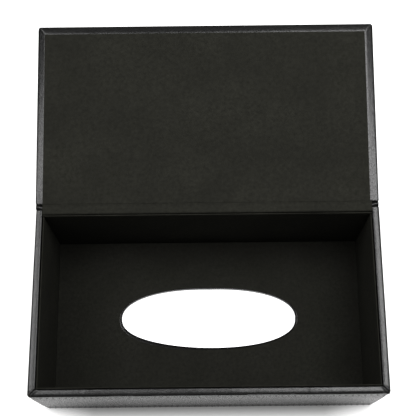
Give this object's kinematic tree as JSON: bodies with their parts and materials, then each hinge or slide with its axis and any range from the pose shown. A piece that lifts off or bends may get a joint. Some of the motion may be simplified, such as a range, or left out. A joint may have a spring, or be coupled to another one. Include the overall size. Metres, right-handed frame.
{
  "type": "tissue box cover",
  "caption": "Rectangular tissue box cover of leatherette-wrapped board, mouth up, with an oval dispensing slot in its far panel and a fabric-hinged flap laid open.",
  "frame": {"origin": "middle of the outer dispensing face, at the centre of the oval slot", "axes": "+X to the right along the width, +Y from the front wall to the hinge, +Z from the dispensing face up through the mouth"},
  "size_m": [0.25, 0.2714, 0.1073],
  "materials": {
    "leatherette": "semi-gloss embossed polyurethane leatherette",
    "flocked_lining": "matte flocked lining",
    "board": "raw fibreboard",
    "magnet": "nickel plated"
  },
  "bodies": {
    "box": {"top_board": "board", "front_board": "board", "rear_board": "board", "left_board": "board", "right_board": "board", "top_cover": "leatherette", "front_cover": "leatherette", "rear_cover": "leatherette", "left_cover": "leatherette", "right_cover": "leatherette", "top_lining": "flocked_lining", "front_lining": "flocked_lining", "rear_lining": "flocked_lining", "left_lining": "flocked_lining", "right_lining": "flocked_lining", "rim_magnet_left": "magnet", "rim_magnet_right": "magnet", "hinge_cover": "leatherette", "hinge_lining": "flocked_lining"},
    "lid": {"lid_board": "board", "lid_cover": "leatherette", "lid_lining": "flocked_lining", "lid_magnet_left": "magnet", "lid_magnet_right": "magnet"}
  },
  "joints": [
    {"name": "flap_hinge", "type": "hinge", "parent": "box", "child": "lid", "pos_m": [0, 0.0687, 0.08615], "axis": [1, 0, 0], "range_deg": [0, 171], "deforming": ["hinge_cover", "hinge_lining"]}
  ]
}
